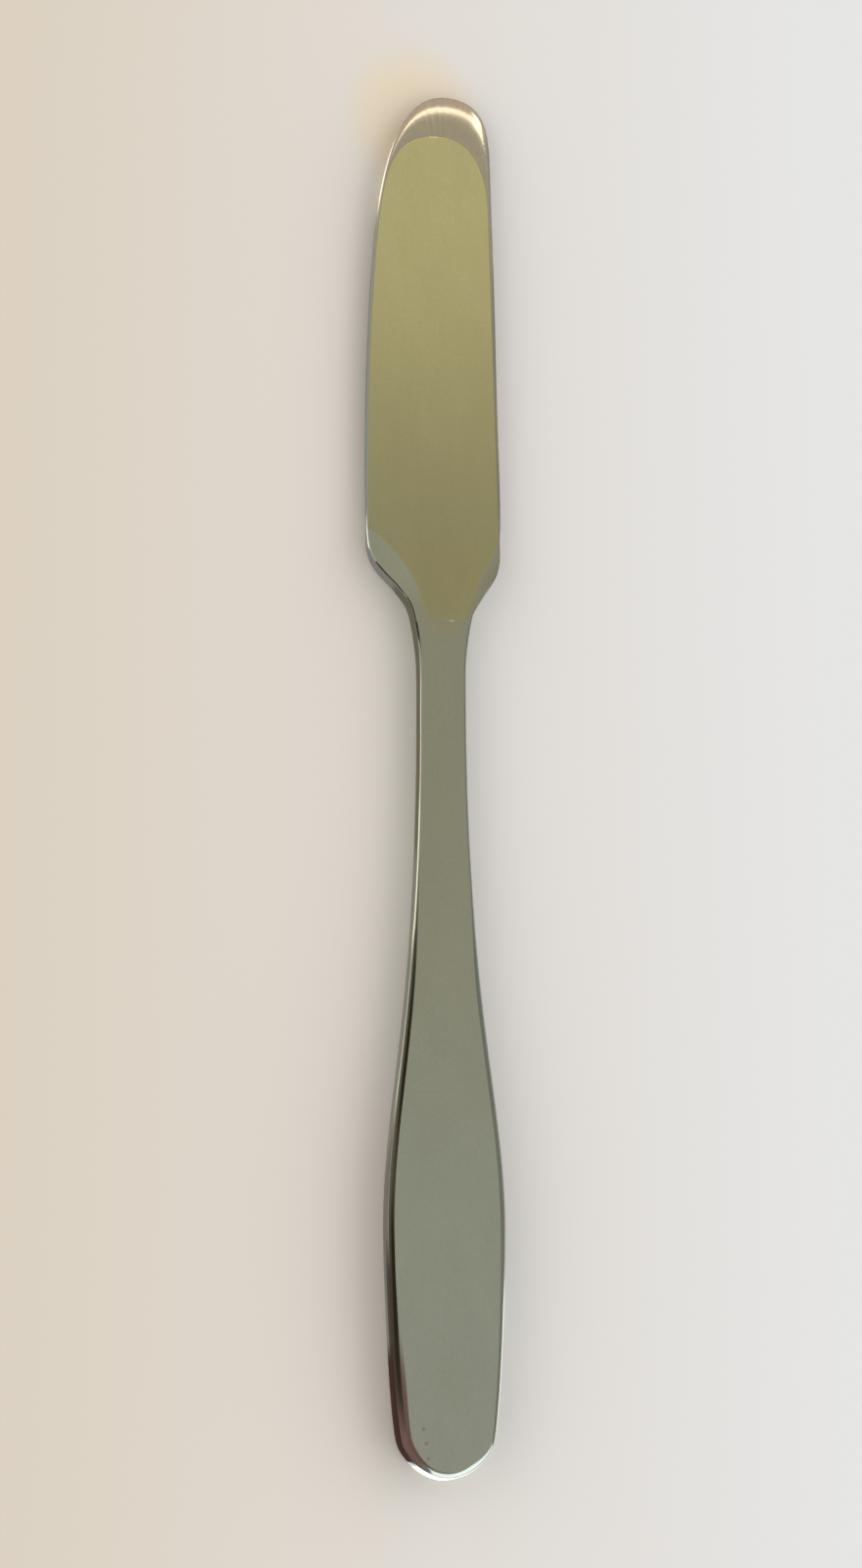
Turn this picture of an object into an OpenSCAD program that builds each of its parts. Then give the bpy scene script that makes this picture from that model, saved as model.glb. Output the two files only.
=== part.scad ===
// Butter knife in polished stainless steel, lying on its flat side.
// +Y runs along the knife to the tip of the blade and +Z points up.
// The origin is under the middle of the knife, on the surface that it lies on.

/* [Overall] */
// Length from the end of the handle to the tip of the blade
overall_length = 170; // [150:1:190]

/* [Blade] */
// Length of the blade from its tip to the joint across the neck
blade_length = 69; // [62:0.5:78]
// Reach of the straight back from the handle's centre line
back_reach = 7.4; // [6:0.1:9]
// Reach of the spreading edge from the handle's centre line
belly_reach = 9.4; // [7.5:0.1:11]
// How far the back leans in between its shoulder and the tip
back_lean = 0.85; // [0:0.05:1.2]
// How far the spreading edge leans in before it curves to the tip
belly_lean = 0.7; // [0:0.05:1.2]
// Thickness of the blade along its back
back_thickness = 1.4; // [1.1:0.05:1.8]
// Thickness of the blade along its spreading edge
belly_thickness = 0.8; // [0.6:0.05:1]
// Length of the shoulder between the joint and the back
back_shoulder_length = 12; // [10:0.5:15]
// Length of the shoulder between the joint and the spreading edge
belly_shoulder_length = 10; // [8:0.5:13]

/* [Blade tip] */
// Distance of the tip's highest point from the handle's centre line
tip_offset = 1; // [0:0.1:2]
// Length of the rounding from the back to the tip
back_round_length = 9.5; // [8:0.5:12]
// Length of the curve from the spreading edge to the tip
belly_round_length = 25; // [20:0.5:28]
// Length of the rolled bevel at the tip
tip_bevel_length = 5.6; // [3:0.1:7]
// Thickness left along the rim of the tip
rim_thickness = 0.24; // [0.15:0.01:0.35]

/* [Ground faces of the blade] */
// Width of the rounded margins beside the ground faces
face_margin = 0.35; // [0.25:0.01:0.5]
// Width that the margin beside the back grows to at the tip
tip_margin = 0.8; // [0.6:0.05:1.2]
// Length that the ground faces take to run out into the neck
grind_run_length = 11.5; // [9:0.5:14]
// Width of the ground faces where they meet the joint
grind_foot_width = 3.8; // [3:0.1:4.5]
// How far that foot lies from the handle's centre line, towards the back
grind_foot_offset = 0.5; // [0:0.1:1]

/* [Handle] */
// Width of the handle at its widest place
handle_width = 14; // [11:0.1:17]
// Thickness of the handle from its widest place to its end
handle_thickness = 3.3; // [2.8:0.05:4]
// Distance of the widest place from the end of the handle
widest_from_end = 28.5; // [24:0.5:33]
// Width of the handle where its rounded end begins
end_width = 10.9; // [9:0.1:12]
// Length of the handle's rounded end
end_round_length = 4; // [3.5:0.1:5]
// Radius of the long edges at the widest place
handle_edge_radius = 0.5; // [0.3:0.05:0.8]
// How far the rounded edge around the handle's end reaches in
end_edge_radius = 1; // [0.6:0.05:1.3]
// How far that edge reaches down
end_edge_height = 0.6; // [0.4:0.05:1]

/* [Neck] */
// Width of the neck at its narrowest place
neck_width = 5.7; // [5:0.1:6.4]
// Width of the neck at the joint
joint_width = 7; // [6.5:0.1:8]
// Thickness of the neck
neck_thickness = 2.4; // [2.1:0.05:2.7]
// Radius of the neck's long edges
neck_edge_radius = 0.25; // [0.15:0.01:0.4]
// Distance of the narrowest place from the joint
waist_from_joint = 11; // [8:0.5:14]

/* [Joint] */
// Length of the flat tang that the neck holds
tang_length = 9; // [6:0.5:12]
// Wall of the neck beside the tang
socket_side_wall = 0.95; // [0.7:0.05:1.2]
// Wall of the neck over and under the tang
socket_face_wall = 0.5; // [0.4:0.05:0.6]
// Thickness of the layer of braze all round the tang
braze_gap = 0.1; // [0.06:0.01:0.15]
// How far the braze stays under the polished surface
braze_recess = 0.02; // [0.01:0.01:0.08]

/* [Hidden] */

// Steps along each curve of an outline and around each rounded edge
curve_steps = 10;
edge_steps = 5;
// How far a joined solid runs into its neighbour, and a cut past its face
overrun = 1;

// The knife's box is centred on the origin, so the handle's centre line lies beside it
axis_x = (belly_reach - back_reach) / 2;
tip_y = overall_length / 2;
end_y = -overall_length / 2;
joint_y = tip_y - blade_length;
back_heel_y = joint_y + back_shoulder_length;
belly_heel_y = joint_y + belly_shoulder_length;
back_round_y = tip_y - back_round_length;
belly_round_y = tip_y - belly_round_length;
bevel_y = tip_y - tip_bevel_length;
grind_y = joint_y + grind_run_length;
face_y = joint_y - braze_gap;
waist_y = joint_y - waist_from_joint;
widest_y = end_y + widest_from_end;
end_round_y = end_y + end_round_length;
mid_z = neck_thickness / 2;

// The tang takes what the walls and the braze leave it of the neck
socket_width = neck_width - 2 * socket_side_wall;
socket_thickness = neck_thickness - 2 * socket_face_wall;
tang_width = socket_width - 2 * braze_gap;
tang_thickness = socket_thickness - 2 * braze_gap;
socket_length = tang_length + braze_gap;

// Slopes of the outlines, as shares of the run along the knife
flare_share = 0.18;
end_slope_share = 0.27;
// Where the shoulders and the ends of the ground faces bend,
// as shares of their rise and of their length
back_bend_shares = [0.44, 0.32];
belly_bend_shares = [0.35, 0.4];
back_face_bend_shares = [0.41, 0.42];
belly_face_bend_shares = [0.29, 0.5];
// Directions there, as shares across and along
back_bend_way_shares = [0.63, 1];
belly_bend_way_shares = [0.85, 1];
back_face_way_shares = [0.35, 1];
belly_face_way_shares = [0.6, 1];
back_face_heel_way_shares = [0.1, 1];
belly_face_heel_way_shares = [1, 0.5];
// Where a long side has its middle stop, as a share of its run
middle_share = 0.35;
// How much of the tip margin and of the tip's offset the ground faces take
face_widen_share = 0.6;
face_offset_share = 0.2;
// Leads of the curves, as shares of the span between two stops
even_lead_share = 0.33;
back_lead_shares = [0.26, 0.73, 0.36, 0.65];
belly_lead_shares = [0.5, 0.42, 0.27, 0.46];
face_lead_shares = [0.3, 0.35, 0.35, 0.35];
back_tip_lead_shares = [0.46, 0.48];
belly_tip_lead_shares = [0.55, 0.235];
back_face_tip_lead_shares = [0.56, 0.3];
belly_face_tip_lead_shares = [0.57, 0.27];
waist_lead_share = 0.42;
swell_lead_shares = [0.595, 0.245];
taper_lead_share = 0.15;
end_lead_shares = [0.2, 0.42];
// Most of a margin that its rounded edge may take
edge_room_share = 0.9;
// Most of the blade's half thickness that its rounded edge may take
edge_height_share = 0.5;

function ramp(t) = let (c = min(max(t, 0), 1)) c * c * (3 - 2 * c);
function blend(a, b, t) = a + (b - a) * t;
function unit(v) = v / norm(v);
function reversed(list) = [for (i = [len(list) - 1:-1:0]) list[i]];
function between(a, b, shares) = [blend(a[0], b[0], shares[0]), blend(a[1], b[1], shares[1])];

// A curve runs through stops: a point, a direction, and a lead in and a lead out,
// each lead being a share of the span to the stop on that side
function cubic(a, b, c, d, t) =
    a * pow(1 - t, 3) + 3 * b * pow(1 - t, 2) * t + 3 * c * (1 - t) * pow(t, 2) + d * pow(t, 3);
function span(from, to) =
    let (
        a = from[0],
        d = to[0],
        b = a + unit(from[1]) * from[3] * norm(d - a),
        c = d - unit(to[1]) * to[2] * norm(d - a)
    ) [for (i = [1:curve_steps]) cubic(a, b, c, d, i / curve_steps)];
function path(stops) =
    concat([stops[0][0]], [for (i = [1:len(stops) - 1]) each span(stops[i - 1], stops[i])]);

// Sides are drawn as distances from the handle's centre line, and then joined into one run
function run_clockwise(left, right) = concat(
    [for (p = left) [axis_x - p[0], p[1]]],
    [for (i = [len(right) - 2:-1:0]) [axis_x + right[i][0], right[i][1]]]
);

joint_point = [joint_width / 2, joint_y];
back_heel = [back_reach, back_heel_y];
back_high = [back_reach - back_lean, back_round_y];
back_run = back_high - back_heel;
belly_heel = [belly_reach - face_margin / 2, belly_heel_y];
belly_high = [belly_reach - belly_lean, belly_round_y];
belly_middle = [belly_reach, blend(belly_heel_y, belly_round_y, middle_share)];
belly_way = [-2 * belly_lean, belly_high[1] - belly_middle[1]];

back_side = path([
    [joint_point, [flare_share, 1], 0, back_lead_shares[0]],
    [between(joint_point, back_heel, back_bend_shares), back_bend_way_shares,
        back_lead_shares[1], back_lead_shares[2]],
    [back_heel, [0, 1], back_lead_shares[3], even_lead_share],
    [back_heel + back_run * middle_share, back_run, even_lead_share, even_lead_share],
    [back_high, back_run, even_lead_share, back_tip_lead_shares[0]],
    [[tip_offset, tip_y], [-1, 0], back_tip_lead_shares[1], 0]
]);
belly_side = path([
    [joint_point, [flare_share, 1], 0, belly_lead_shares[0]],
    [between(joint_point, belly_heel, belly_bend_shares), belly_bend_way_shares,
        belly_lead_shares[1], belly_lead_shares[2]],
    [belly_heel, [face_margin, belly_shoulder_length], belly_lead_shares[3], even_lead_share],
    [belly_middle, [0, 1], even_lead_share, even_lead_share],
    [belly_high, belly_way, even_lead_share, belly_tip_lead_shares[0]],
    [[-tip_offset, tip_y], [-1, 0], belly_tip_lead_shares[1], 0]
]);
blade_outline = run_clockwise(belly_side, back_side);

// The ground faces have the same stops, inside the outline
back_foot = [grind_foot_width / 2 + grind_foot_offset, joint_y];
back_face_heel = [back_reach - face_margin, grind_y];
back_face_high = [back_high[0] - tip_margin * face_widen_share, back_round_y - tip_bevel_length];
back_face_run = back_face_high - back_face_heel;
belly_foot = [grind_foot_width / 2 - grind_foot_offset, joint_y];
belly_face_heel = [belly_reach - face_margin, grind_y];
face_tip = [tip_offset * face_offset_share, bevel_y];

back_face_side = path([
    [back_foot, back_face_way_shares, 0, face_lead_shares[0]],
    [between(back_foot, back_face_heel, back_face_bend_shares), back_face_way_shares,
        face_lead_shares[1], face_lead_shares[2]],
    [back_face_heel, back_face_heel_way_shares, face_lead_shares[3], 0],
    [back_face_heel + back_face_run * middle_share, back_run, even_lead_share, even_lead_share],
    [back_face_high, back_face_run, even_lead_share, back_face_tip_lead_shares[0]],
    [face_tip, [-1, 0], back_face_tip_lead_shares[1], 0]
]);
belly_face_side = path([
    [belly_foot, belly_face_way_shares, 0, face_lead_shares[0]],
    [between(belly_foot, belly_face_heel, belly_face_bend_shares), belly_face_way_shares,
        face_lead_shares[1], face_lead_shares[2]],
    [belly_face_heel, belly_face_heel_way_shares, face_lead_shares[3], 0],
    [belly_middle - [face_margin, 0], [0, 1], even_lead_share, even_lead_share],
    [belly_high - [face_margin, 0], belly_way, even_lead_share, belly_face_tip_lead_shares[0]],
    [[-face_tip[0], face_tip[1]], [-1, 0], belly_face_tip_lead_shares[1], 0]
]);
face_outline = run_clockwise(belly_face_side, back_face_side);

// Half of the blade's thickness at its edges and at the rim of a ground face,
// where the neck thins to the blade and the two sides come together at the tip
tip_thickness = (back_thickness + belly_thickness) / 2;
function tip_share(y) = ramp((y - belly_round_y) / belly_round_length);
function side_half(side, y) =
    blend(side == "back" ? back_thickness : belly_thickness, tip_thickness, tip_share(y)) / 2;
function grind_share(y) = min(max((y - joint_y) / grind_run_length, 0), 1);
function edge_half(side, y) = blend(mid_z, side_half(side, y), pow(grind_share(y), 3));
function face_half(side, y) = blend(mid_z, side_half(side, y), ramp(grind_share(y)));

// Half of a section through the blade's margin, from the middle of its edge to its face
function blade_section(i) =
    let (
        outer = blade_outline[i],
        inner = face_outline[i],
        side = i < len(belly_side) ? "belly" : "back",
        y = outer[1],
        room = min(edge_room_share, neck_edge_radius / norm(inner - outer)),
        share = blend(room, edge_room_share, tip_share(y)),
        high = edge_half(side, y),
        round_height = min(neck_edge_radius, high * edge_height_share),
        low = blend(high - round_height, rim_thickness / 2, tip_share(y))
    ) concat(
        [for (step = [0:edge_steps]) let (a = step * 90 / edge_steps)
            concat(blend(outer, inner, share * (1 - cos(a))), [blend(low, high, sin(a))])],
        [concat(inner, [face_half(side, inner[1])])]
    );
function mirrored_z(p) = [p[0], p[1], mid_z - p[2]];
function raised_z(p) = [p[0], p[1], mid_z + p[2]];
blade_sections = [for (i = [0:len(blade_outline) - 1]) blade_section(i)];
blade_rings = let (levels = len(blade_sections[0])) concat(
    [for (k = [levels - 1:-1:0]) [for (section = blade_sections) mirrored_z(section[k])]],
    [for (k = [0:levels - 1]) [for (section = blade_sections) raised_z(section[k])]]
);

// The handle from its face at the joint to its end
handle_side = path([
    [[joint_width / 2, face_y], [-flare_share, -1], 0, waist_lead_share],
    [[neck_width / 2, waist_y], [0, -1], waist_lead_share, swell_lead_shares[0]],
    [[handle_width / 2, widest_y], [0, -1], swell_lead_shares[1], taper_lead_share],
    [[end_width / 2, end_round_y], [-end_slope_share, -1], taper_lead_share, end_lead_shares[0]],
    [[0, end_y], [-1, 0], end_lead_shares[1], 0]
]);
handle_outline = concat(
    [for (p = handle_side) [axis_x + p[0], p[1]]],
    [for (i = [len(handle_side) - 2:-1:0]) [axis_x - handle_side[i][0], handle_side[i][1]]]
);
function handle_top(y) =
    blend(neck_thickness, handle_thickness, ramp((waist_y - y) / (waist_y - widest_y)));
// A long edge is rounded alike inwards and down, and the edge of the end reaches further in
function handle_round(y, at_end) = y > widest_y
    ? blend(neck_edge_radius, handle_edge_radius, ramp((waist_y - y) / (waist_y - widest_y)))
    : blend(handle_edge_radius, at_end, ramp((widest_y - y) / (widest_y - end_y)));

// Direction into the handle from a point of its outline, along the joint at both ends
function inward(i) =
    let (
        last = len(handle_outline) - 1,
        along = handle_outline[min(i + 1, last)] - handle_outline[max(i - 1, 0)]
    ) i == 0 ? [-1, 0] : i == last ? [1, 0] : unit([along[1], -along[0]]);
function handle_ring(under, a) = [for (i = [0:len(handle_outline) - 1])
    let (
        p = handle_outline[i],
        inset = p + inward(i) * handle_round(p[1], end_edge_radius) * (1 - cos(a)),
        lift = handle_round(p[1], end_edge_height) * (1 - sin(a))
    ) concat(inset, [under ? lift : handle_top(inset[1]) - lift])];
edge_angles = [for (step = [0:edge_steps]) step * 90 / edge_steps];
handle_rings = concat(
    [for (a = reversed(edge_angles)) handle_ring(true, a)],
    [for (a = edge_angles) handle_ring(false, a)]
);

// One closed skin over rings of points that run clockwise, the lowest ring first.
// Every ring starts and ends in the plane of the joint, where a flat face closes the skin.
module skin(rings) {
    n = len(rings[0]);
    top = len(rings) - 1;
    wall = (top - 1) / 2;
    middle = (n - 1) / 2;
    sides = [for (k = [0:top - 1]) for (i = [0:n - 2]) each [
        [k * n + i, (k + 1) * n + i + 1, (k + 1) * n + i],
        [k * n + i, k * n + i + 1, (k + 1) * n + i + 1]
    ]];
    under = [for (i = [0:middle - 1]) each i == middle - 1
        ? [[i, i + 2, i + 1]]
        : [[i, n - 2 - i, i + 1], [i, n - 1 - i, n - 2 - i]]];
    over = [for (face = under) reversed([for (i = face) top * n + i])];
    joint = concat(
        [for (k = [wall + 1:top]) k * n],
        [for (k = [top:-1:0]) k * n + n - 1],
        [for (k = [0:wall]) k * n]
    );
    polyhedron(points = [for (ring = rings) each ring], faces = concat(sides, under, over, [joint]));
}

// A flat bar on the centre line of the neck, from one place along the knife to another
module neck_bar(width, thickness, from_y, to_y) {
    translate([axis_x - width / 2, from_y, mid_z - thickness / 2])
        cube([width, to_y - from_y, thickness]);
}

module tang(ahead) {
    neck_bar(tang_width, tang_thickness, joint_y - tang_length, joint_y + ahead);
}

module blade() {
    color([0.63, 0.6, 0.44]) union() {
        skin(blade_rings);
        tang(overrun);
    }
}

module handle() {
    color([0.53, 0.54, 0.46]) difference() {
        skin(handle_rings);
        neck_bar(socket_width, socket_thickness, joint_y - socket_length, joint_y + overrun);
    }
}

// The braze fills the joint across the neck and the socket around the tang
module braze() {
    wide = joint_width - 2 * braze_recess;
    high = neck_thickness - 2 * braze_recess;
    r = neck_edge_radius;
    color([0.78, 0.77, 0.72]) difference() {
        union() {
            translate([axis_x, joint_y, mid_z]) rotate([90, 0, 0]) linear_extrude(height = braze_gap)
                hull() for (x = [-1, 1], z = [-1, 1])
                    translate([x * (wide / 2 - r), z * (high / 2 - r)]) circle(r = r, $fn = 32);
            neck_bar(socket_width, socket_thickness, joint_y - socket_length, joint_y - braze_gap / 2);
        }
        tang(overrun);
    }
}

blade();
handle();
braze();
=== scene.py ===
"""A butter knife in polished stainless steel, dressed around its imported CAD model.

The knife lies flat: +Y runs to the tip of the blade, +X is the side of the straight back and
+Z points up. Sizes below are in millimetres.
"""
import math

import bmesh
import bpy
from mathutils import Matrix, Vector


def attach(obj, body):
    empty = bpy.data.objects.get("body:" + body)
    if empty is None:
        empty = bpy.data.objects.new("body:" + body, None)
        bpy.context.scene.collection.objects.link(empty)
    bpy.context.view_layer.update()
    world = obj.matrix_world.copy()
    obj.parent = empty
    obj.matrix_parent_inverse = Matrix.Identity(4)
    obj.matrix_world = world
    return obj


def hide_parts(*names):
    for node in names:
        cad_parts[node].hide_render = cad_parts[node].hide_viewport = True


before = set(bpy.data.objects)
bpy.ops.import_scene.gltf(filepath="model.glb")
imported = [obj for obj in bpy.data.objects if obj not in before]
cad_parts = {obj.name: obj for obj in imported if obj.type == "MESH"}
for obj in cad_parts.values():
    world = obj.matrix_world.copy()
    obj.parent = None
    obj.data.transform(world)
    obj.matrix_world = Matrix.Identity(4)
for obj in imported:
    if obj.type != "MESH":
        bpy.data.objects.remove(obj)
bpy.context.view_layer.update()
MM = 0.001
MERGE_DISTANCE = 0.002 * MM


def ramp(t):
    """An eased rise from 0 to 1."""
    t = min(max(t, 0), 1)
    return t * t * (3 - 2 * t)


def blend(a, b, t):
    return a + (b - a) * t


# Camera, at the photograph's viewing angle
CAMERA_AT = Vector((-105.888, -109.373, 395.308))
CAMERA_TARGET = Vector((-0.367, -3.853, 1.5))
CAMERA_ROLL = math.radians(-0.197)
CAMERA_LENS = 81.49


def place_camera():
    data = bpy.data.cameras.new("camera")
    data.lens = CAMERA_LENS
    data.sensor_width = 36
    camera = bpy.data.objects.new("camera", data)
    bpy.context.scene.collection.objects.link(camera)
    ahead = (CAMERA_TARGET - CAMERA_AT).normalized()
    level = ahead.cross(Vector((0, 1, 0))).normalized()
    over = level.cross(ahead)
    right = level * math.cos(CAMERA_ROLL) + over * math.sin(CAMERA_ROLL)
    up = over * math.cos(CAMERA_ROLL) - level * math.sin(CAMERA_ROLL)
    turn = Matrix((right, up, -ahead)).transposed().to_4x4()
    camera.matrix_world = Matrix.Translation(CAMERA_AT * MM) @ turn
    bpy.context.scene.camera = camera


place_camera()

# Places along the knife, and the handle's centre line
AXIS_X = 1.0
TIP_Y = 85.0
END_Y = -85.0
JOINT_Y = 16.0
GRIND_Y = 27.5
BELLY_ROUND_Y = 60.0
BELLY_ROUND_LENGTH = 25.0
WAIST_Y = 5.0
WIDEST_Y = -56.5
FACE_Y = 15.9
MID_Z = 1.2

# How finely curves and rounded edges are drawn, and the lead of a stop on an even curve
CURVE_STEPS = 30
EDGE_STEPS = 12
EVEN = 0.33


def cubic(a, b, c, d, t):
    s = 1 - t
    return a * s**3 + b * 3 * s * s * t + c * 3 * s * t * t + d * t**3


def side_run(stops):
    """A curve through stops, each a point, a direction, a lead in and a lead out."""
    points = [Vector(stops[0][0])]
    for (start, way_out, _, lead_out), (end, way_in, lead_in, _) in zip(stops, stops[1:]):
        a = Vector(start)
        d = Vector(end)
        reach = (d - a).length
        b = a + Vector(way_out).normalized() * lead_out * reach
        c = d - Vector(way_in).normalized() * lead_in * reach
        points += [cubic(a, b, c, d, i / CURVE_STEPS) for i in range(1, CURVE_STEPS + 1)]
    return points


def clockwise(left, right):
    """One outline from two sides, from the left end of the joint over the tip to the right."""
    return [Vector((AXIS_X - p.x, p.y)) for p in left] + [
        Vector((AXIS_X + p.x, p.y)) for p in right[-2::-1]
    ]


# Sides of the blade, its ground faces and the handle, as distances from the centre line
BACK_HEEL = Vector((7.4, 28))
BACK_HIGH = Vector((6.55, 75.5))
BACK_RUN = BACK_HIGH - BACK_HEEL
BACK_MIDDLE = BACK_HEEL + BACK_RUN * 0.35
BELLY_MIDDLE = Vector((9.4, 37.9))
BELLY_HIGH = Vector((8.7, 60))
BELLY_RUN = Vector((-1.4, 22.1))
BELLY_LEDGE = Vector((0.35, 0))
back_side = side_run([
    [(3.5, JOINT_Y), (0.18, 1), 0, 0.26],
    [(5.216, 19.84), (0.63, 1), 0.73, 0.36],
    [BACK_HEEL, (0, 1), 0.65, EVEN],
    [BACK_MIDDLE, BACK_RUN, EVEN, EVEN],
    [BACK_HIGH, BACK_RUN, EVEN, 0.46],
    [(1, TIP_Y), (-1, 0), 0.48, 0],
])
belly_side = side_run([
    [(3.5, JOINT_Y), (0.18, 1), 0, 0.5],
    [(5.50375, 20), (0.85, 1), 0.42, 0.27],
    [(9.225, 26), (0.35, 10), 0.46, EVEN],
    [BELLY_MIDDLE, (0, 1), EVEN, EVEN],
    [BELLY_HIGH, BELLY_RUN, EVEN, 0.55],
    [(-1, TIP_Y), (-1, 0), 0.235, 0],
])
FACE_HEEL = Vector((7.05, 27.5))
FACE_HIGH = Vector((6.07, 69.9))
FACE_RUN = FACE_HIGH - FACE_HEEL
back_face_side = side_run([
    [(2.4, JOINT_Y), (0.35, 1), 0, 0.3],
    [(4.3065, 20.83), (0.35, 1), 0.35, 0.35],
    [FACE_HEEL, (0.1, 1), 0.35, 0],
    [FACE_HEEL + FACE_RUN * 0.35, BACK_RUN, EVEN, EVEN],
    [FACE_HIGH, FACE_RUN, EVEN, 0.56],
    [(0.2, 79.4), (-1, 0), 0.3, 0],
])
belly_face_side = side_run([
    [(1.4, JOINT_Y), (0.6, 1), 0, 0.3],
    [(3.6185, 21.75), (0.6, 1), 0.35, 0.35],
    [(9.05, 27.5), (1, 0.5), 0.35, 0],
    [BELLY_MIDDLE - BELLY_LEDGE, (0, 1), EVEN, EVEN],
    [BELLY_HIGH - BELLY_LEDGE, BELLY_RUN, EVEN, 0.68],
    [(-0.2, 79.4), (-1, 0), 0.31, 0],
])
blade_outline = clockwise(belly_side, back_side)
face_outline = clockwise(belly_face_side, back_face_side)
handle_side = side_run([
    [(3.5, FACE_Y), (-0.18, -1), 0, 0.42],
    [(2.85, WAIST_Y), (0, -1), 0.42, 0.595],
    [(7.0, WIDEST_Y), (0, -1), 0.245, 0.15],
    [(5.45, -81), (-0.27, -1), 0.15, 0.2],
    [(0, END_Y), (-1, 0), 0.42, 0],
])
handle_outline = [Vector((AXIS_X + p.x, p.y)) for p in handle_side] + [
    Vector((AXIS_X - p.x, p.y)) for p in handle_side[-2::-1]
]


# Half thicknesses of the blade at its back, its spreading edge and its tip
BACK_HALF = 0.7
BELLY_HALF = 0.4
TIP_HALF = 0.55

# How the blade's margin rolls over from the edge to the ground face
ROLL_SHARE = 0.9
ROLL_WIDTH = 0.25
ROLL_DROP = 0.3
TIP_LOW = 0.12
FRINGE = 0.5


def tip_share(y):
    """0 below the round of the tip and 1 at its end."""
    return ramp((y - BELLY_ROUND_Y) / BELLY_ROUND_LENGTH)


def side_half(on_back, y):
    return blend(BACK_HALF if on_back else BELLY_HALF, TIP_HALF, tip_share(y))


def grind_share(y):
    """0 at the joint and 1 where the ground face has its full depth."""
    return min(max((y - JOINT_Y) / (GRIND_Y - JOINT_Y), 0), 1)


def blade_section(i):
    """Half of the blade's margin, from the middle of its edge to its ground face."""
    outer = blade_outline[i]
    inner = face_outline[i]
    on_back = i >= len(belly_side)
    width = (inner - outer).length
    share = blend(min(ROLL_SHARE, ROLL_WIDTH / width), ROLL_SHARE, tip_share(outer.y))
    high = blend(MID_Z, side_half(on_back, outer.y), grind_share(outer.y) ** 3)
    low = blend(high - min(ROLL_DROP, high / 2), TIP_LOW, tip_share(outer.y))
    points = []
    for step in range(EDGE_STEPS + 1):
        a = math.radians(90 * step / EDGE_STEPS)
        point = blend(outer, inner, share * (1 - math.cos(a)))
        points.append(Vector((point.x, point.y, blend(low, high, math.sin(a)))))
    face_high = blend(MID_Z, side_half(on_back, inner.y), ramp(grind_share(inner.y)))
    rim = Vector((inner.x, inner.y, face_high))
    fringe = min(FRINGE / (rim - points[-1]).length, 0.5)
    return points + [blend(rim, points[-1], fringe), rim]


NECK_THICKNESS = 2.4
HANDLE_THICKNESS = 3.3


def handle_top(y):
    share = ramp((WAIST_Y - y) / (WAIST_Y - WIDEST_Y))
    return blend(NECK_THICKNESS, HANDLE_THICKNESS, share)


def eased(stops, y):
    """A value that eases from stop to stop along the knife, each a place and a value."""
    for (from_y, before), (to_y, after) in zip(stops, stops[1:]):
        if y > to_y:
            return blend(before, after, ramp((from_y - y) / (from_y - to_y)))
    return stops[-1][1]


# How far the handle's edge is rounded over, inwards and down, from the neck to the end
EDGE_REACH = [(-16, 0.3), (-30, 0.75), (-62, 0.75), (-75, 1.3), (-81, 1.2), (-85, 0.7)]
EDGE_DROP = [(-16, 0.42), (-30, 0.6), (-62, 0.6), (-85, 0.6)]
EDGE_ARC = math.radians(66)

# Columns of faces across the blade's ground faces, and shares across the handle's broad faces
GROUND_COLUMNS = 14
BROAD_SHARES = [0, 0.01, 0.1, 0.3, 0.5, 0.7, 0.9, 0.99, 1]

# Width, thickness and far end of the tang and of its socket
TANG = (3.6, 1.2, JOINT_Y - 9)
SOCKET = (3.8, 1.4, JOINT_Y - 9.1)


# Meshes
def lay_sheet(bm, columns, rows, place):
    """A grid of faces, each corner put where place says for its column and row."""
    made = bmesh.ops.create_grid(bm, x_segments=columns, y_segments=rows, size=0.5)
    for vert in made["verts"]:
        column = round((vert.co.x + 0.5) * columns)
        row = round((vert.co.y + 0.5) * rows)
        vert.co = place(column, row) * MM
    return made["verts"]


def lay_bar(bm, from_y, width, thickness, to_y):
    """Joins the open end of a skin to a rectangle in it, and runs that along the knife."""
    rim = [edge for edge in bm.edges if edge.is_boundary]
    for edge in rim:
        edge.smooth = False
    corners = bmesh.ops.create_grid(bm, x_segments=1, y_segments=1, size=0.5)["verts"]
    bmesh.ops.delete(bm, geom=corners[0].link_faces[:], context="FACES_ONLY")
    for vert in corners:
        across = vert.co.x * width + AXIS_X
        vert.co = Vector((across, from_y, MID_Z + vert.co.y * thickness)) * MM
    square = list(dict.fromkeys(edge for vert in corners for edge in vert.link_edges))
    bmesh.ops.bridge_loops(bm, edges=rim + square)
    run = bmesh.ops.extrude_edge_only(bm, edges=square)["geom"]
    far = [item for item in run if isinstance(item, bmesh.types.BMVert)]
    bmesh.ops.translate(bm, verts=far, vec=(0, (to_y - from_y) * MM, 0))
    bmesh.ops.contextual_create(bm, geom=[e for e in bm.edges if e.is_boundary])


def sort_faces(bm):
    """Lists the faces by their corners, because the operators' own order changes from run to run."""
    bm.verts.index_update()
    ordered = sorted(bm.faces, key=lambda face: [vert.index for vert in face.verts])
    rank = {face: place for place, face in enumerate(ordered)}
    bm.faces.sort(key=lambda face: rank[face])


def make_piece(name, bm):
    """A smooth object at the origin from a finished bmesh, with its faces turned outwards."""
    bmesh.ops.remove_doubles(bm, verts=bm.verts, dist=MERGE_DISTANCE)
    bmesh.ops.recalc_face_normals(bm, faces=bm.faces)
    for face in bm.faces:
        face.smooth = True
    sort_faces(bm)
    mesh = bpy.data.meshes.new(name)
    bm.to_mesh(mesh)
    bm.free()
    piece = bpy.data.objects.new(name, mesh)
    bpy.context.scene.collection.objects.link(piece)
    return piece


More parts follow.
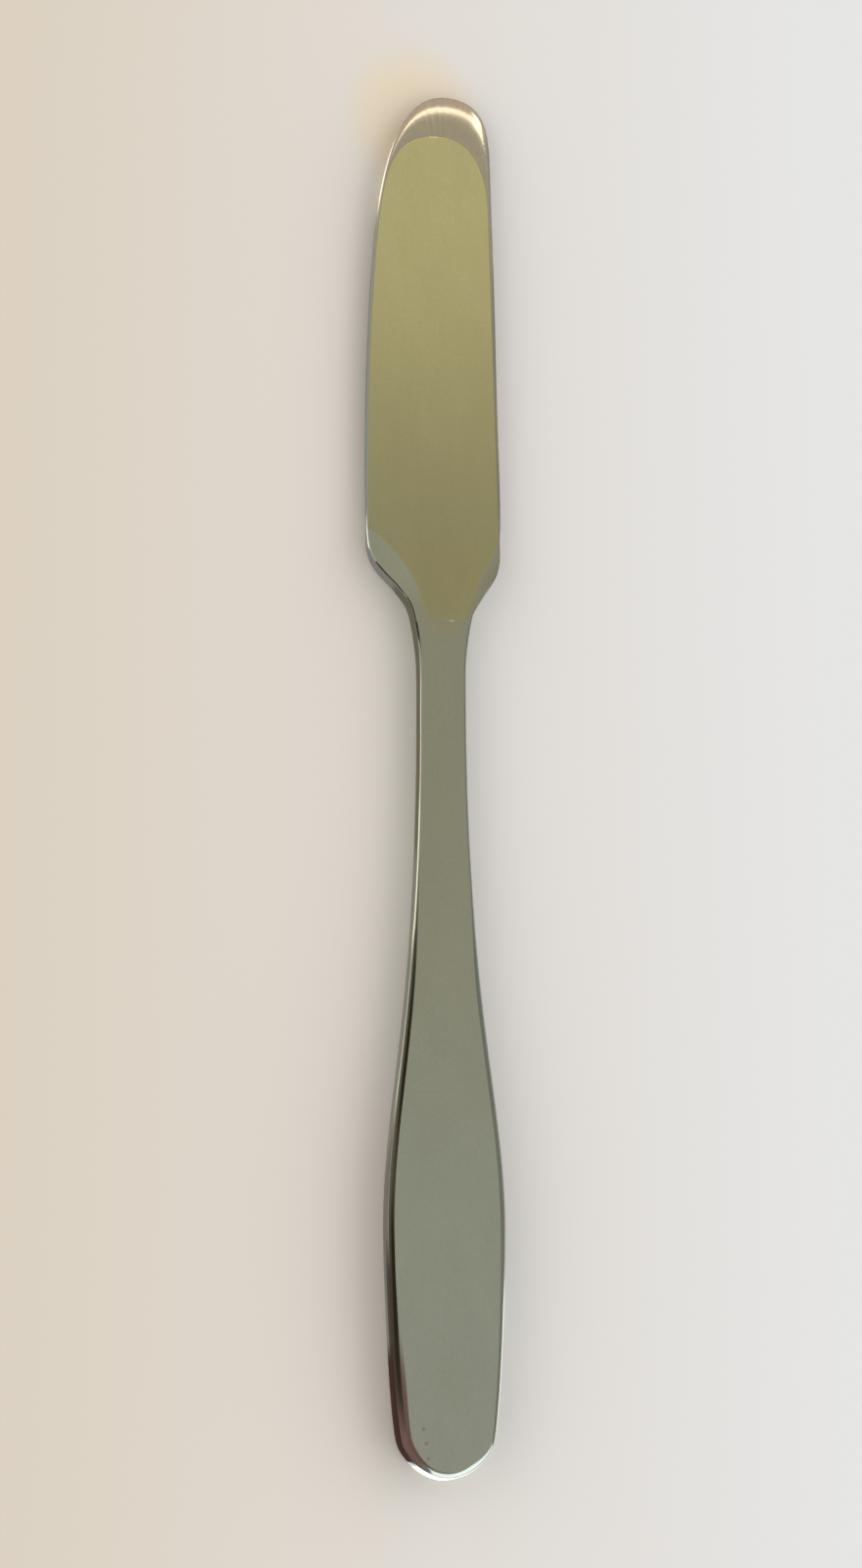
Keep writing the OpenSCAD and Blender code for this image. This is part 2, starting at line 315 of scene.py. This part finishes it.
def merge_rims(bm, mask):
    """Joins the sheets along their shared rims, which keep the ground faces' mask."""
    found = bmesh.ops.find_doubles(bm, verts=bm.verts, dist=MERGE_DISTANCE)["targetmap"]
    for gone, kept in found.items():
        kept[mask] = max(kept[mask], gone[mask])
    bmesh.ops.weld_verts(bm, targetmap=found)
    for edge in bm.edges:
        faces = edge.link_faces
        if len(faces) == 2 and all(vert[mask] == 1.0 for vert in edge.verts):
            shares = [sum(vert[mask] for vert in face.verts) / len(face.verts) for face in faces]
            edge.smooth = (shares[0] == 1.0) == (shares[1] == 1.0)


def make_blade():
    bm = bmesh.new()
    sections = [blade_section(i) for i in range(len(blade_outline))]
    levels = len(sections[0])
    last = len(sections) - 1

    def margin(column, row):
        side = -1 if row < levels else 1
        level = levels - 1 - row if row < levels else row - levels
        point = sections[column][level]
        return Vector((point.x, point.y, MID_Z + side * point.z))

    ground_mask = bm.verts.layers.float.new("ground")
    lay_sheet(bm, last, 2 * levels - 1, margin)
    for side in (-1, 1):
        def ground(column, row):
            left = sections[row][-1]
            right = sections[last - row][-1]
            point = blend(left, right, column / GROUND_COLUMNS)
            return Vector((point.x, point.y, MID_Z + side * point.z))

        for vert in lay_sheet(bm, GROUND_COLUMNS, last // 2, ground):
            vert[ground_mask] = 1.0
    merge_rims(bm, ground_mask)
    lay_bar(bm, JOINT_Y, *TANG)
    return make_piece("blade_skin", bm)


def inward(i):
    """The direction from a point of the handle's outline towards the inside."""
    last = len(handle_outline) - 1
    if i in (0, last):
        return Vector((-1 if i == 0 else 1, 0))
    along = handle_outline[i + 1] - handle_outline[i - 1]
    return Vector((along.y, -along.x)).normalized()


def make_handle():
    bm = bmesh.new()
    last = len(handle_outline) - 1
    levels = EDGE_STEPS + 1

    def edge(column, row):
        under = row < levels
        step = EDGE_STEPS - row if under else row - levels
        a = EDGE_ARC * step / EDGE_STEPS
        point = handle_outline[column]
        reach = eased(EDGE_REACH, point.y) * (1 - math.cos(a)) / (1 - math.cos(EDGE_ARC))
        lift = eased(EDGE_DROP, point.y) * (1 - math.sin(a) / math.sin(EDGE_ARC))
        point = point + inward(column) * reach
        return Vector((point.x, point.y, lift if under else handle_top(point.y) - lift))

    lay_sheet(bm, last, 2 * levels - 1, edge)
    for end in (0, 2 * levels - 1):
        def broad(column, row):
            return blend(edge(row, end), edge(last - row, end), BROAD_SHARES[column])

        lay_sheet(bm, len(BROAD_SHARES) - 1, last // 2, broad)
    bmesh.ops.remove_doubles(bm, verts=bm.verts, dist=MERGE_DISTANCE)
    lay_bar(bm, FACE_Y, *SOCKET)
    return make_piece("handle_skin", bm)


# Shader expressions
class Wire:
    """A socket whose operators add Math nodes."""

    def __init__(self, shader, socket):
        self.shader = shader
        self.socket = socket

    def maths(self, operation, *values):
        inputs = dict(enumerate(values))
        return self.shader.add("Math", {"operation": operation}, inputs)

    def __add__(self, other):
        return self.maths("ADD", self, other)

    def __sub__(self, other):
        return self.maths("SUBTRACT", self, other)

    def __rsub__(self, other):
        return self.maths("SUBTRACT", other, self)

    def __mul__(self, other):
        return self.maths("MULTIPLY", self, other)

    def __truediv__(self, other):
        return self.maths("DIVIDE", self, other)

    def __rtruediv__(self, other):
        return self.maths("DIVIDE", other, self)

    def __pow__(self, other):
        return self.maths("POWER", self, other)

    def __abs__(self):
        return self.maths("ABSOLUTE", self)

    __radd__ = __add__
    __rmul__ = __mul__


class Shader:
    """Nodes of one material or of the world."""

    def __init__(self, owner):
        owner.use_nodes = True
        self.tree = owner.node_tree
        self.tree.nodes.clear()

    def add(self, kind, settings=None, inputs=None, output=0):
        node = self.tree.nodes.new("ShaderNode" + kind)
        for name, value in (settings or {}).items():
            if name == "stops":
                ramp_stops(node.color_ramp, value)
            else:
                setattr(node, name, value)
        for name, value in (inputs or {}).items():
            if isinstance(value, Wire):
                self.tree.links.new(value.socket, node.inputs[name])
            else:
                node.inputs[name].default_value = value
        return Wire(self, node.outputs[output]) if len(node.outputs) else node

    def axes(self, vector, names):
        """The named parts of a vector, such as XY."""
        outputs = ["XYZ".index(name) for name in names]
        return [self.add("SeparateXYZ", inputs={0: vector}, output=i) for i in outputs]

    def scaled(self, vector, scale):
        return self.add("VectorMath", {"operation": "MULTIPLY"}, {0: vector, 1: scale})

    def mix(self, a, b, factor, how="MIX"):
        settings = {"data_type": "RGBA", "blend_type": how}
        return self.add("Mix", settings, {0: factor, 6: a, 7: b}, output=2)

    def tinted(self, colour, tint):
        return self.mix(colour, tint, 1.0, how="MULTIPLY")

    def noise(self, vector, detail=3.0, rough=0.5):
        inputs = {"Vector": vector, "Scale": 1.0, "Detail": detail, "Roughness": rough}
        return self.add("TexNoise", inputs=inputs)

    def step(self, value, low, high):
        """0 below low and 1 above high, with a smooth rise between them."""
        settings = {"interpolation_type": "SMOOTHSTEP"}
        inputs = {"Value": value, "From Min": low, "From Max": high}
        return self.add("MapRange", settings, inputs)


def ramp_stops(color_ramp, stops):
    while len(color_ramp.elements) < len(stops):
        color_ramp.elements.new(1.0)
    for element, (place, colour) in zip(color_ramp.elements, stops):
        element.position = place
        element.color = colour


def tone(red, green, blue):
    """A colour as it is seen, 0 to 255, as the linear colour that a shader takes."""
    parts = []
    for part in (red, green, blue):
        share = part / 255
        parts.append(share / 12.92 if share <= 0.04045 else ((share + 0.055) / 1.055) ** 2.4)
    return (*parts, 1.0)


# Steel colours: the ground faces along the blade, its margins and the handle. The faces' warm olive
# and the margins' tones are painted reflections of the room
PAINTED_HEEL_REFLECTION = tone(160, 158, 134)
PAINTED_TIP_REFLECTION = tone(200, 198, 162)
PAINTED_LEFT_SHOULDER_REFLECTION = (0.354, 0.385, 0.372, 1.0)
PAINTED_RIGHT_SHOULDER_REFLECTION = (0.306, 0.312, 0.270, 1.0)
PAINTED_TIP_MARGIN_REFLECTION = (0.436, 0.410, 0.396, 1.0)
PAINTED_FRINGE_REFLECTION = tone(132, 112, 88)
PAINTED_TICK_HIGHLIGHT = tone(225, 222, 205)
HANDLE_NECK_STEEL = (0.320, 0.336, 0.300, 1.0)
HANDLE_END_STEEL = (0.350, 0.363, 0.318, 1.0)
SMUDGE_BROWN = tone(120, 112, 100)

# Smudges near the handle's end: middle, reach and strength
SMUDGES = [
    ((-1.97, -79.5), (0.3, 0.3), 0.5),
    ((-1.63, -81.1), (0.3, 0.3), 0.5),
    ((-1.41, -82.8), (0.25, 0.3), 0.4),
    ((1.5, -74.5), (3.0, 4.5), 0.06),
]

# Brushed lines, grain and clouds in the polish: scale along X, Y and Z, share and tints
CLOUD_SCALE = (0.25, 0.12, 0.25)
GRAIN_SCALE = (3.2, 2.4, 3.2)
LINE_SCALE = (8.0, 0.25, 8.0)
CLOUD_SHARE = 0.35
GRAIN_SHARE = 0.45
LINE_SHARE = 0.2
DARKER = (0.84, 0.84, 0.84, 1.0)
LIGHTER = (1.16, 1.16, 1.16, 1.0)
SPOT_EDGE = (0.4, 1.0)

# Roughness of the polish and of the braze, and how much their texture adds
POLISH = 0.09
LINE_ROUGHNESS = 0.05
BRAZE_ROUGHNESS = 0.25
GRAIN_ROUGHNESS = 0.15

# Height of each surface's relief
BLADE_RELIEF = 0.006
HANDLE_RELIEF = 0.0003
BRAZE_RELIEF = 0.001

# Polishing streaks that sweep round the tip
SWEEP_CENTRE = (1.5, 74.0)
STREAKS_ROUND = 22.0
STREAKS_ALONG = 0.1
STREAK_WARM = (0.91, 0.88, 0.84, 1.0)
STREAK_COOL = (1.07, 1.08, 1.09, 1.0)
LINE_RELIEF = 0.05

# Where one colour turns into the next, along or across the knife
HEEL_TO_TIP = (22.0, 72.0)
NEAR_TIP = (50.0, 70.0)
SHOULDER_ACROSS = (-3.0, 5.0)
NECK_TO_SHOULDER = (15.8, 22.0)
GROUND_EDGE = (0.45, 1.0)
RAGGED_SCALE = (0.9, 0.9, 0.9)
RAGGED_REACH = 1.2
RAGGED_END = (16.3, 17.5)
PAINTED_FRINGE_STRENGTH = 0.5
HANDLE_ALONG = (-80.0, 10.0)

# Painted highlights: a bright tick at the end of the ground face, and a glow of the face's painted
# olive beside it on the neck
TICK_AT = (2.05, 16.3)
TICK_REACH = (0.4, 0.14)
TICK_STRENGTH = 0.5
GLOW_ALONG = (13.2, 16.2)
GLOW_ACROSS = (0.8, 2.6)
GLOW_STRENGTH = 0.7

BRAZE_GRAIN_SCALE = (6.0, 6.0, 6.0)
BRAZE_DARK = tone(150, 148, 131)
BRAZE_PALE = tone(163, 159, 142)


def finish_material(shader, colour, roughness, bump, bump_height):
    """A metal surface; the height of its bump is in millimetres."""
    relief = {"Height": bump, "Strength": 1.0, "Distance": bump_height * MM}
    inputs = {
        "Base Color": colour,
        "Metallic": 1.0,
        "Roughness": roughness,
        "Normal": shader.add("Bump", inputs=relief),
    }
    surface = shader.add("BsdfPrincipled", inputs=inputs)
    shader.add("OutputMaterial", inputs={"Surface": surface})


def millimetres(shader):
    return shader.scaled(shader.add("TexCoord", output=3), (1 / MM, 1 / MM, 1 / MM))


def spot(shader, place, centre, reach):
    """1 inside a small oval patch, seen from above, and 0 outside it, with a soft edge."""
    away = shader.add("VectorMath", {"operation": "SUBTRACT"}, {0: place, 1: (*centre, 0.0)})
    flat = shader.scaled(away, (1 / reach[0], 1 / reach[1], 0.0))
    far = shader.add("VectorMath", {"operation": "LENGTH"}, {0: flat}, output=1)
    return 1 - shader.step(far, *SPOT_EDGE)


def brushed(shader, place, colour):
    """Faint clouds, grain and lengthwise lines over a polished colour; also gives the lines."""
    clouds = shader.noise(shader.scaled(place, CLOUD_SCALE))
    grain = shader.noise(shader.scaled(place, GRAIN_SCALE), detail=2.0, rough=0.7)
    lines = shader.noise(shader.scaled(place, LINE_SCALE), rough=0.6)
    mottle = clouds * CLOUD_SHARE + grain * GRAIN_SHARE + lines * LINE_SHARE
    darker = shader.tinted(colour, DARKER)
    lighter = shader.tinted(colour, LIGHTER)
    return shader.mix(darker, lighter, mottle), lines


def blade_steel():
    material = bpy.data.materials.new("polished_blade_steel")
    shader = Shader(material)
    place = millimetres(shader)
    across, along = shader.axes(place, "XY")
    ground = shader.add("Attribute", {"attribute_name": "ground"}, output=2)
    ragged = shader.noise(shader.scaled(place, RAGGED_SCALE))
    ragged_end = shader.step(along + ragged * RAGGED_REACH, *RAGGED_END)
    ground = shader.step(ground, *GROUND_EDGE) * ragged_end
    # Painted reflection: the ground face's warm olive, lighter from the heel to the tip
    face = shader.mix(PAINTED_HEEL_REFLECTION, PAINTED_TIP_REFLECTION, shader.step(along, *HEEL_TO_TIP))
    near_tip = shader.step(along, *NEAR_TIP)
    # Painted reflection: the left shoulder paler and bluer than the right
    shoulder = shader.mix(PAINTED_LEFT_SHOULDER_REFLECTION, PAINTED_RIGHT_SHOULDER_REFLECTION, shader.step(across, *SHOULDER_ACROSS))
    shoulder = shader.mix(HANDLE_NECK_STEEL, shoulder, shader.step(along, *NECK_TO_SHOULDER))
    # Painted reflection: a pinkish brown margin round the tip
    margin = shader.mix(shoulder, PAINTED_TIP_MARGIN_REFLECTION, near_tip)
    turn = across.maths("ARCTAN2", across - SWEEP_CENTRE[0], along - SWEEP_CENTRE[1])
    sweep = {0: turn * STREAKS_ROUND, 1: along * STREAKS_ALONG, 2: 0.0}
    streaks = shader.noise(shader.add("CombineXYZ", inputs=sweep), rough=0.6)
    warm = shader.tinted(margin, STREAK_WARM)
    cool = shader.tinted(margin, STREAK_COOL)
    margin = shader.mix(margin, shader.mix(warm, cool, streaks), near_tip)
    colour = shader.mix(margin, face, ground)
    # Painted reflection: a dark brown line along the ground face's edge near the tip
    fringe = ground * (1 - ground) * 4 * near_tip
    colour = shader.mix(colour, PAINTED_FRINGE_REFLECTION, fringe * PAINTED_FRINGE_STRENGTH)
    # Painted highlight: a pale tick at the end of the ground face
    tick = spot(shader, place, TICK_AT, TICK_REACH)
    colour = shader.mix(colour, PAINTED_TICK_HIGHLIGHT, tick * TICK_STRENGTH)
    colour, lines = brushed(shader, place, colour)
    relief = lines * LINE_RELIEF + streaks * near_tip
    finish_material(shader, colour, POLISH + lines * LINE_ROUGHNESS, relief, BLADE_RELIEF)
    return material


def handle_steel():
    material = bpy.data.materials.new("polished_handle_steel")
    shader = Shader(material)
    place = millimetres(shader)
    across, along = shader.axes(place, "XY")
    neckwards = shader.step(along, *HANDLE_ALONG)
    colour = shader.mix(HANDLE_END_STEEL, HANDLE_NECK_STEEL, neckwards)
    # Painted reflection: the blade face's olive glow spread onto the middle of the neck beside the
    # joint
    off_middle = shader.step(abs(across - AXIS_X), *GLOW_ACROSS)
    painted_joint_glow = shader.step(along, *GLOW_ALONG) * (1 - off_middle)
    colour = shader.mix(colour, PAINTED_HEEL_REFLECTION, painted_joint_glow * GLOW_STRENGTH)
    for centre, reach, strength in SMUDGES:
        smudge = spot(shader, place, centre, reach)
        colour = shader.mix(colour, SMUDGE_BROWN, smudge * strength)
    colour, lines = brushed(shader, place, colour)
    finish_material(shader, colour, POLISH + lines * LINE_ROUGHNESS, lines, HANDLE_RELIEF)
    return material


def braze_filler():
    material = bpy.data.materials.new("braze_filler")
    shader = Shader(material)
    place = millimetres(shader)
    grain = shader.noise(shader.scaled(place, BRAZE_GRAIN_SCALE))
    colour = shader.mix(BRAZE_DARK, BRAZE_PALE, grain)
    roughness = BRAZE_ROUGHNESS + grain * GRAIN_ROUGHNESS
    finish_material(shader, colour, roughness, grain, BRAZE_RELIEF)
    return material


blade = make_blade()
handle = make_handle()
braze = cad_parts["braze"]
for piece, node, slot, material in (
    (blade, "blade", "blade_steel", blade_steel()),
    (handle, "handle", "handle_steel", handle_steel()),
):
    piece.data.materials.append(material)
    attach(piece, "root")
    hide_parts(node)
braze.data.materials.clear()
braze.data.materials.append(braze_filler())


# Floor: painted light turns it from a warm to a neutral grey over the span, from left to right
FLOOR_HALF = 1.5
FLOOR_DROP = 0.01
FLOOR_ROUGHNESS = 0.9
FLOOR_SPAN = (-50.0, 50.0)
WARM_GREY = tone(220, 210, 195)
PALE_GREY = tone(230, 230, 230)
BACKDROP = tone(228, 225, 220)

# The painted pool of warm light that the tip throws on the floor
PAINTED_WARM_POOL = tone(236, 214, 176)
WARM_AT = (-2.0, 82.5)
WARM_REACH = (10.5, 12.0)
WARM_STRENGTH = 0.55


def make_floor():
    bm = bmesh.new()
    bmesh.ops.create_grid(bm, x_segments=1, y_segments=1, size=FLOOR_HALF)
    bmesh.ops.translate(bm, verts=bm.verts, vec=(0, 0, -FLOOR_DROP * MM))
    floor = make_piece("floor", bm)
    material = bpy.data.materials.new("pale_floor")
    shader = Shader(material)
    place = millimetres(shader)
    across = shader.axes(place, "X")[0]
    left, right = FLOOR_SPAN
    # Painted light: warm grey on the left to neutral grey on the right
    colour = shader.mix(WARM_GREY, PALE_GREY, (across - left) / (right - left))
    # Painted light: the warm pool of light beside the tip
    warm = spot(shader, place, WARM_AT, WARM_REACH)
    colour = shader.mix(colour, PAINTED_WARM_POOL, warm * WARM_STRENGTH)
    inputs = {"Base Color": colour, "Roughness": FLOOR_ROUGHNESS, "Specular IOR Level": 0.0}
    surface = shader.add("BsdfPrincipled", inputs=inputs)
    shader.add("OutputMaterial", inputs={"Surface": surface})
    floor.data.materials.append(material)


# What the steel mirrors, all round the horizon: bearing from +X, how high it reaches, colour
WALL = (0.39, 0.39, 0.33)
WINDOW = (2.45, 2.60, 2.75)
RING = [
    (0, 30, WALL),
    (7, 36, WALL),
    (13, 56, WALL),
    (30, 50, WALL),
    (40, 45, (0.68, 0.65, 0.48)),
    (150, 45, (0.66, 0.63, 0.48)),
    (225, 60, (0.64, 0.62, 0.50)),
    (233, 70, (0.38, 0.37, 0.34)),
    (255, 70, (0.36, 0.38, 0.38)),
    (260, 46, WINDOW),
    (329, 46, WINDOW),
    (338, 27, WINDOW),
    (347, 16, (2.20, 2.30, 2.40)),
    (353, 18, WALL),
    (360, 30, WALL),
]
RING_SCALE = 4.0
RING_BLUR = (-3.0, 5.0)

# The ceiling, warmer towards the far side of the room; angles in degrees
OVERHEAD_RIGHT = (0.70, 0.70, 0.62, 1.0)
OVERHEAD_FAR = (0.70, 0.64, 0.45, 1.0)
FAR_BEARING = 62
FAR_WIDTH = (2.0, 48.0)
FAR_RISE = (64.0, 80.0)

# The darker band over the window
LINTEL = (0.40, 0.41, 0.37, 1.0)
LINTEL_BEARING = 285
LINTEL_WIDTH = (24.0, 34.0)
LINTEL_RISE = 64
LINTEL_HEIGHT = (5.0, 9.0)
LINTEL_STRENGTH = 0.8

# The lamps that light the floor
LEFT_LAMP = (1.90, 1.80, 1.64, 1.0)
RIGHT_LAMP = (2.94, 2.98, 3.08, 1.0)
LAMP_CHANGE = (-0.1, 0.1)
FILL = 0.3
END_FILL = 0.5
SOFT_LEVEL = 1.136


def ring_stops(values):
    return [(turn / 360, value) for (turn, _, _), value in zip(RING, values)]


def off_bearing(turn, bearing):
    """How far a direction is from a bearing, either way round."""
    return abs(turn.maths("WRAP", turn - bearing, 180.0, -180.0))


def mirrored_studio(shader, x, y, z):
    """The studio as the steel mirrors it: a pale ceiling over a ring of walls and lamps."""
    turn = x.maths("ARCTAN2", y, x) * math.degrees(1)
    turn = x.maths("WRAP", turn, 360.0, 0.0)
    rise = x.maths("ARCSINE", z) * math.degrees(1)
    far = 1 - shader.step(off_bearing(turn, FAR_BEARING), *FAR_WIDTH)
    far = far * (1 - shader.step(rise, *FAR_RISE))
    ceiling = shader.mix(OVERHEAD_RIGHT, OVERHEAD_FAR, far)
    colours = [tuple(part / RING_SCALE for part in colour) + (1.0,) for _, _, colour in RING]
    tops = [(top / 90, top / 90, top / 90, 1.0) for _, top, _ in RING]
    ring = shader.add("ValToRGB", {"stops": ring_stops(colours)}, {0: turn / 360})
    ring = shader.scaled(ring, (RING_SCALE, RING_SCALE, RING_SCALE))
    top = shader.add("ValToRGB", {"stops": ring_stops(tops)}, {0: turn / 360})
    top = shader.axes(top, "X")[0] * 90
    colour = shader.mix(ceiling, ring, 1 - shader.step(rise - top, *RING_BLUR))
    lintel = 1 - shader.step(off_bearing(turn, LINTEL_BEARING), *LINTEL_WIDTH)
    lintel = lintel * (1 - shader.step(abs(rise - LINTEL_RISE), *LINTEL_HEIGHT))
    return shader.mix(colour, LINTEL, lintel * LINTEL_STRENGTH)


def soft_light(shader, x, y, z):
    """The light that falls on the floor: broad lamps low on both sides."""
    right = shader.step(x, *LAMP_CHANGE)
    sideways = (x * x / (x * x + z * z)) ** 2
    endways = (y * y / (y * y + z * z)) ** 2
    lamp = shader.mix(LEFT_LAMP, RIGHT_LAMP, right)
    level = (FILL + endways * END_FILL) * SOFT_LEVEL
    lamp = shader.scaled(lamp, (SOFT_LEVEL, SOFT_LEVEL, SOFT_LEVEL))
    lamp = shader.mix((0.0, 0.0, 0.0, 1.0), lamp, sideways)
    fill = shader.add("CombineColor", inputs={0: level, 1: level, 2: level})
    return shader.mix(lamp, fill, 1.0, how="ADD")


def make_world():
    world = bpy.data.worlds.new("studio")
    bpy.context.scene.world = world
    shader = Shader(world)
    x, y, z = shader.axes(shader.add("TexCoord"), "XYZ")
    camera_ray = shader.add("LightPath", output=0)
    glossy_ray = shader.add("LightPath", output=3)
    lit = soft_light(shader, x, y, z)
    mirrored = mirrored_studio(shader, x, y, z)
    colour = shader.mix(lit, mirrored, glossy_ray)
    colour = shader.mix(colour, BACKDROP, camera_ray)
    light = shader.add("Background", inputs={"Color": colour, "Strength": 1.0})
    shader.add("OutputWorld", inputs={"Surface": light})


def make_card(name, corners, colour, fade=0):
    """A glowing or dark card that only the polished steel mirrors, faded at both ends."""
    bm = bmesh.new()
    made = bmesh.ops.create_grid(bm, x_segments=1, y_segments=1, size=0.5)
    for vert, corner in zip(made["verts"], corners):
        vert.co = Vector(corner) * MM
    card = make_piece(name, bm)
    material = bpy.data.materials.new(name)
    shader = Shader(material)
    if callable(colour):
        colour = colour(shader)
    light = shader.add("Emission", inputs={"Color": colour, "Strength": 1.0})
    if fade:
        along = shader.axes(millimetres(shader), "Y")[0]
        near, far = corners[0][1], corners[2][1]
        shown = shader.step(along, near, near + fade) * (1 - shader.step(along, far - fade, far))
        clear = shader.add("BsdfTransparent")
        light = shader.add("MixShader", inputs={0: shown, 1: clear, 2: light})
    shader.add("OutputMaterial", inputs={"Surface": light})
    card.data.materials.append(material)
    card.visible_camera = False
    card.visible_diffuse = False
    card.visible_shadow = False


def lying(z, xs, ys):
    """Corners of a level card, row by row."""
    return [(x, y, z) for y in ys for x in xs]


def facing_x(x, ys, zs):
    """Corners of an upright card that runs along the knife."""
    return [(x, y, z) for z in zs for y in ys]


def facing_y(y, xs, zs):
    """Corners of an upright card that runs across the knife."""
    return [(x, y, z) for z in zs for x in xs]


def beside(near, far, reach, z=0.02):
    """Corners of a card on the floor, beside an edge that runs between two points."""
    (near_x, near_y), (far_x, far_y) = near, far
    return [(near_x, near_y, z), (near_x - reach, near_y, z), (far_x, far_y, z),
            (far_x - reach, far_y, z)]


# The dark card along the handle, from its lower end to its upper end
FLAG_SPAN = (-135.0, -4.0)
FLAG_RED = (0.32, 0.24, 0.21, 1.0)
FLAG_BLACK = (0.05, 0.035, 0.02, 1.0)
FLAG_GAP = (0.16, 0.13, 0.09, 1.0)
FLAG_PALE = (0.50, 0.48, 0.35, 1.0)
RED_TO_BLACK = (-125.0, -60.0)
GAP_Y = -40
GAP_FADE = (2.0, 14.0)
PALE_RISE = (-13.0, -3.0)

# Its foot, and the reddish glow over the foot's lower end
FOOT_DARK = (0.14, 0.11, 0.09, 1.0)
FOOT_PALE = (0.27, 0.24, 0.18, 1.0)
FOOT_ALONG = (-60.0, -40.0)
FOOT_TOP = (18.0, 30.0)
END_RED = (0.42, 0.24, 0.225, 1.0)
RED_ALONG = (-85.0, -72.0)
RED_UP = (3.0, 12.0)


def flag_shades(shader):
    """Near black, reddish to its lower end, with one paler gap and a pale upper end."""
    along, up = shader.axes(millimetres(shader), "YZ")
    dark = shader.mix(FLAG_RED, FLAG_BLACK, shader.step(along, *RED_TO_BLACK))
    gap = 1 - shader.step(abs(along - GAP_Y), *GAP_FADE)
    dark = shader.mix(dark, FLAG_GAP, gap)
    dark = shader.mix(dark, FLAG_PALE, shader.step(along, *PALE_RISE))
    foot = shader.mix(FOOT_DARK, FOOT_PALE, shader.step(along, *FOOT_ALONG))
    colour = shader.mix(foot, dark, shader.step(up, *FOOT_TOP))
    reddish = (1 - shader.step(along, *RED_ALONG)) * shader.step(up, *RED_UP)
    return shader.mix(colour, END_RED, reddish)


# Cards and lamps that the steel mirrors: name, corners, colour and the fade at both ends
CARDS = [
    ("dark_flag", facing_x(-30, FLAG_SPAN, (0, 95)), flag_shades),
    ("red_canopy", lying(100, (-60, 2), (-140, -66)), (0.34, 0.205, 0.19, 1.0)),
    ("shoulder_flag", facing_x(-10.5, (14.8, 22), (0, 14)), (0.09, 0.07, 0.04, 1.0)),
    ("shoulder_shade", beside((-3.9, 19.9), (-7.8, 25.2), 1.6), (0.46, 0.40, 0.36, 1.0)),
    ("joint_shade", beside((-2.2, 15.9), (-4.2, 20.2), 1.4), (0.30, 0.265, 0.20, 1.0)),
    ("neck_shade", beside((-1.6, -14.0), (-1.6, 20.0), 1.8), (0.29, 0.25, 0.18, 1.0), 4),
    ("rim_card", facing_y(130, (-45, 75), (0, 65)), (0.93, 0.77, 0.56, 1.0)),
    ("tip_lamp_left", facing_y(130, (-34, -6), (65, 74.5)), (2.30, 1.90, 1.35, 1.0)),
    ("tip_lamp", facing_y(130, (-6, 42), (65, 74.5)), (3.30, 2.90, 2.00, 1.0)),
    ("tip_lamp_bright", facing_y(129, (36, 50.5), (48, 78)), (4.00, 3.60, 2.50, 1.0)),
    ("tip_glint", lying(0.02, (-25, -4.6), (68, 84)), (2.0, 1.75, 1.3, 1.0), 4),
    ("heel_glint", lying(0.02, (-18, -8.8), (24.6, 30)), (2.4, 2.3, 1.9, 1.0), 1),
    ("heel_side_glint", lying(0.02, (9.0, 18), (26, 29)), (2.2, 2.1, 1.8, 1.0), 1),
    ("neck_lamp", facing_x(-15, (-18, 32), (0, 6)), (1.1, 1.05, 0.9, 1.0)),
    ("upper_neck_glint", beside((-6.0, -6.0), (-6.0, 14.0), 9, 0.03), (3.2, 3.1, 2.5, 1.0), 4),
    ("lower_neck_glint", beside((-3.45, -25.0), (-3.2, -1.0), 11, 0.03), (2.8, 2.7, 2.1, 1.0), 6),
    ("waist_glint", beside((-5.9, -45.0), (-3.5, -20.0), 9), (1.3, 1.25, 1.05, 1.0), 6),
    ("handle_shade", beside((-5.6, -66.0), (-6.0, -44.0), 1.1), (0.33, 0.29, 0.26, 1.0), 4),
    ("end_shade", beside((-2.6, -86.2), (-5.75, -69.0), 26, 0.04), (0.11, 0.055, 0.05, 1.0), 3),
    ("lower_shade", beside((-5.6, -77.0), (-6.6, -56.0), 22, 0.03), (0.15, 0.12, 0.10, 1.0), 6),
    ("corner_shade", lying(0.02, (-30, -3.4), (-104, -86.2)), (0.15, 0.09, 0.085, 1.0)),
    ("tip_shade", lying(0.02, (-5, 7), (85.4, 97)), (0.30, 0.23, 0.16, 1.0)),
    ("end_glint", lying(0.03, (-2.6, 9), (-95, -78)), (2.8, 3.0, 3.1, 1.0)),
    ("end_glint_start", lying(0.03, (-3.3, -2.6), (-95, -80)), (1.2, 1.25, 1.3, 1.0)),
    ("end_side_glint", lying(0.03, (6.9, 20), (-82, -60)), (2.4, 2.5, 2.5, 1.0), 5),
]

make_floor()
make_world()
for card in CARDS:
    make_card(*card)
bpy.context.scene.view_settings.view_transform = "Standard"
